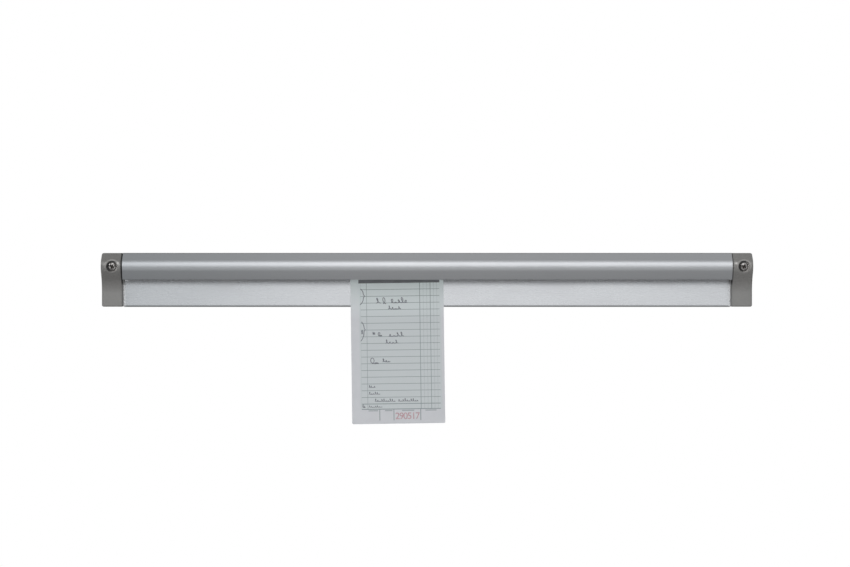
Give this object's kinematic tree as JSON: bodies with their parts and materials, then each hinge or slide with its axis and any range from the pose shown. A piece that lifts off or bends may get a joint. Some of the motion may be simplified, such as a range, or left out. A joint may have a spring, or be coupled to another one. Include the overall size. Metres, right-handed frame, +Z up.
{
  "type": "order ticket rail",
  "caption": "Wall-mounted aluminium ticket rail with a rounded hood over a sloping ball ledge, grey end caps, loose glass marbles that grip paper, and a hanging ticket.",
  "frame": {"origin": "centre of the extrusion's back face, which lies on the wall", "axes": "+X along the rail, +Y into the wall, +Z up"},
  "size_m": [0.6096, 0.048, 0.1611],
  "materials": {
    "satin_aluminium": "satin anodised, fine lengthwise lines",
    "grey_plastic": "moulded, fine grained",
    "bright_steel": "bright plated",
    "marble_glass": "polished",
    "ticket_paper": "uncoated, ruled"
  },
  "bodies": {
    "rail": {"rail_extrusion": "satin_aluminium", "end_cap_left": "grey_plastic", "end_cap_right": "grey_plastic", "mounting_screw_left": "bright_steel", "mounting_screw_right": "bright_steel"},
    "ticket": {"order_ticket": "ticket_paper"},
    "marble_01": {"marble_01": "marble_glass"},
    "marble_02": {"marble_02": "marble_glass"},
    "marble_03": {"marble_03": "marble_glass"},
    "marble_04": {"marble_04": "marble_glass"},
    "marble_05": {"marble_05": "marble_glass"},
    "marble_06": {"marble_06": "marble_glass"},
    "marble_07": {"marble_07": "marble_glass"},
    "marble_08": {"marble_08": "marble_glass"},
    "marble_09": {"marble_09": "marble_glass"},
    "marble_10": {"marble_10": "marble_glass"},
    "marble_11": {"marble_11": "marble_glass"},
    "marble_12": {"marble_12": "marble_glass"},
    "marble_13": {"marble_13": "marble_glass"},
    "marble_14": {"marble_14": "marble_glass"},
    "marble_15": {"marble_15": "marble_glass"},
    "marble_16": {"marble_16": "marble_glass"},
    "marble_17": {"marble_17": "marble_glass"},
    "marble_18": {"marble_18": "marble_glass"},
    "marble_19": {"marble_19": "marble_glass"},
    "marble_20": {"marble_20": "marble_glass"},
    "marble_21": {"marble_21": "marble_glass"},
    "marble_22": {"marble_22": "marble_glass"},
    "marble_23": {"marble_23": "marble_glass"},
    "marble_24": {"marble_24": "marble_glass"},
    "marble_25": {"marble_25": "marble_glass"},
    "marble_26": {"marble_26": "marble_glass"},
    "marble_27": {"marble_27": "marble_glass"},
    "marble_28": {"marble_28": "marble_glass"},
    "marble_29": {"marble_29": "marble_glass"},
    "marble_30": {"marble_30": "marble_glass"},
    "marble_31": {"marble_31": "marble_glass"},
    "marble_32": {"marble_32": "marble_glass"},
    "marble_33": {"marble_33": "marble_glass"},
    "marble_34": {"marble_34": "marble_glass"}
  },
  "joints": [
    {"name": "ticket_pull", "type": "slide", "parent": "rail", "child": "ticket", "axis": [0, 0, -1], "range_m": [0, 0.055]},
    {"name": "marble_01_rise", "type": "slide", "parent": "rail", "child": "marble_01", "axis": [0, -0.9063, 0.4226], "range_m": [0, 0.0028]},
    {"name": "marble_02_rise", "type": "slide", "parent": "rail", "child": "marble_02", "axis": [0, -0.9063, 0.4226], "range_m": [0, 0.0028]},
    {"name": "marble_03_rise", "type": "slide", "parent": "rail", "child": "marble_03", "axis": [0, -0.9063, 0.4226], "range_m": [0, 0.0028]},
    {"name": "marble_04_rise", "type": "slide", "parent": "rail", "child": "marble_04", "axis": [0, -0.9063, 0.4226], "range_m": [0, 0.0028]},
    {"name": "marble_05_rise", "type": "slide", "parent": "rail", "child": "marble_05", "axis": [0, -0.9063, 0.4226], "range_m": [0, 0.0028]},
    {"name": "marble_06_rise", "type": "slide", "parent": "rail", "child": "marble_06", "axis": [0, -0.9063, 0.4226], "range_m": [0, 0.0028]},
    {"name": "marble_07_rise", "type": "slide", "parent": "rail", "child": "marble_07", "axis": [0, -0.9063, 0.4226], "range_m": [0, 0.0028]},
    {"name": "marble_08_rise", "type": "slide", "parent": "rail", "child": "marble_08", "axis": [0, -0.9063, 0.4226], "range_m": [0, 0.0028]},
    {"name": "marble_09_rise", "type": "slide", "parent": "rail", "child": "marble_09", "axis": [0, -0.9063, 0.4226], "range_m": [0, 0.0028]},
    {"name": "marble_10_rise", "type": "slide", "parent": "rail", "child": "marble_10", "axis": [0, -0.9063, 0.4226], "range_m": [0, 0.0028]},
    {"name": "marble_11_rise", "type": "slide", "parent": "rail", "child": "marble_11", "axis": [0, -0.9063, 0.4226], "range_m": [0, 0.0028]},
    {"name": "marble_12_rise", "type": "slide", "parent": "rail", "child": "marble_12", "axis": [0, -0.9063, 0.4226], "range_m": [0, 0.0028]},
    {"name": "marble_13_rise", "type": "slide", "parent": "rail", "child": "marble_13", "axis": [0, -0.9063, 0.4226], "range_m": [0, 0.0028]},
    {"name": "marble_14_rise", "type": "slide", "parent": "rail", "child": "marble_14", "axis": [0, -0.9063, 0.4226], "range_m": [0, 0.0028]},
    {"name": "marble_15_rise", "type": "slide", "parent": "rail", "child": "marble_15", "axis": [0, -0.9063, 0.4226], "range_m": [0, 0.0028]},
    {"name": "marble_16_rise", "type": "slide", "parent": "rail", "child": "marble_16", "axis": [0, -0.9063, 0.4226], "range_m": [0, 0.0028]},
    {"name": "marble_17_rise", "type": "slide", "parent": "rail", "child": "marble_17", "axis": [0, -0.9063, 0.4226], "range_m": [0, 0.0028]},
    {"name": "marble_18_rise", "type": "slide", "parent": "rail", "child": "marble_18", "axis": [0, -0.9063, 0.4226], "range_m": [0, 0.0028]},
    {"name": "marble_19_rise", "type": "slide", "parent": "rail", "child": "marble_19", "axis": [0, -0.9063, 0.4226], "range_m": [0, 0.0028]},
    {"name": "marble_20_rise", "type": "slide", "parent": "rail", "child": "marble_20", "axis": [0, -0.9063, 0.4226], "range_m": [0, 0.0028]},
    {"name": "marble_21_rise", "type": "slide", "parent": "rail", "child": "marble_21", "axis": [0, -0.9063, 0.4226], "range_m": [0, 0.0028]},
    {"name": "marble_22_rise", "type": "slide", "parent": "rail", "child": "marble_22", "axis": [0, -0.9063, 0.4226], "range_m": [0, 0.0028]},
    {"name": "marble_23_rise", "type": "slide", "parent": "rail", "child": "marble_23", "axis": [0, -0.9063, 0.4226], "range_m": [0, 0.0028]},
    {"name": "marble_24_rise", "type": "slide", "parent": "rail", "child": "marble_24", "axis": [0, -0.9063, 0.4226], "range_m": [0, 0.0028]},
    {"name": "marble_25_rise", "type": "slide", "parent": "rail", "child": "marble_25", "axis": [0, -0.9063, 0.4226], "range_m": [0, 0.0028]},
    {"name": "marble_26_rise", "type": "slide", "parent": "rail", "child": "marble_26", "axis": [0, -0.9063, 0.4226], "range_m": [0, 0.0028]},
    {"name": "marble_27_rise", "type": "slide", "parent": "rail", "child": "marble_27", "axis": [0, -0.9063, 0.4226], "range_m": [0, 0.0028]},
    {"name": "marble_28_rise", "type": "slide", "parent": "rail", "child": "marble_28", "axis": [0, -0.9063, 0.4226], "range_m": [0, 0.0028]},
    {"name": "marble_29_rise", "type": "slide", "parent": "rail", "child": "marble_29", "axis": [0, -0.9063, 0.4226], "range_m": [0, 0.0028]},
    {"name": "marble_30_rise", "type": "slide", "parent": "rail", "child": "marble_30", "axis": [0, -0.9063, 0.4226], "range_m": [0, 0.0028]},
    {"name": "marble_31_rise", "type": "slide", "parent": "rail", "child": "marble_31", "axis": [0, -0.9063, 0.4226], "range_m": [0, 0.0028]},
    {"name": "marble_32_rise", "type": "slide", "parent": "rail", "child": "marble_32", "axis": [0, -0.9063, 0.4226], "range_m": [0, 0.0028]},
    {"name": "marble_33_rise", "type": "slide", "parent": "rail", "child": "marble_33", "axis": [0, -0.9063, 0.4226], "range_m": [0, 0.0028]},
    {"name": "marble_34_rise", "type": "slide", "parent": "rail", "child": "marble_34", "axis": [0, -0.9063, 0.4226], "range_m": [0, 0.0028]}
  ]
}
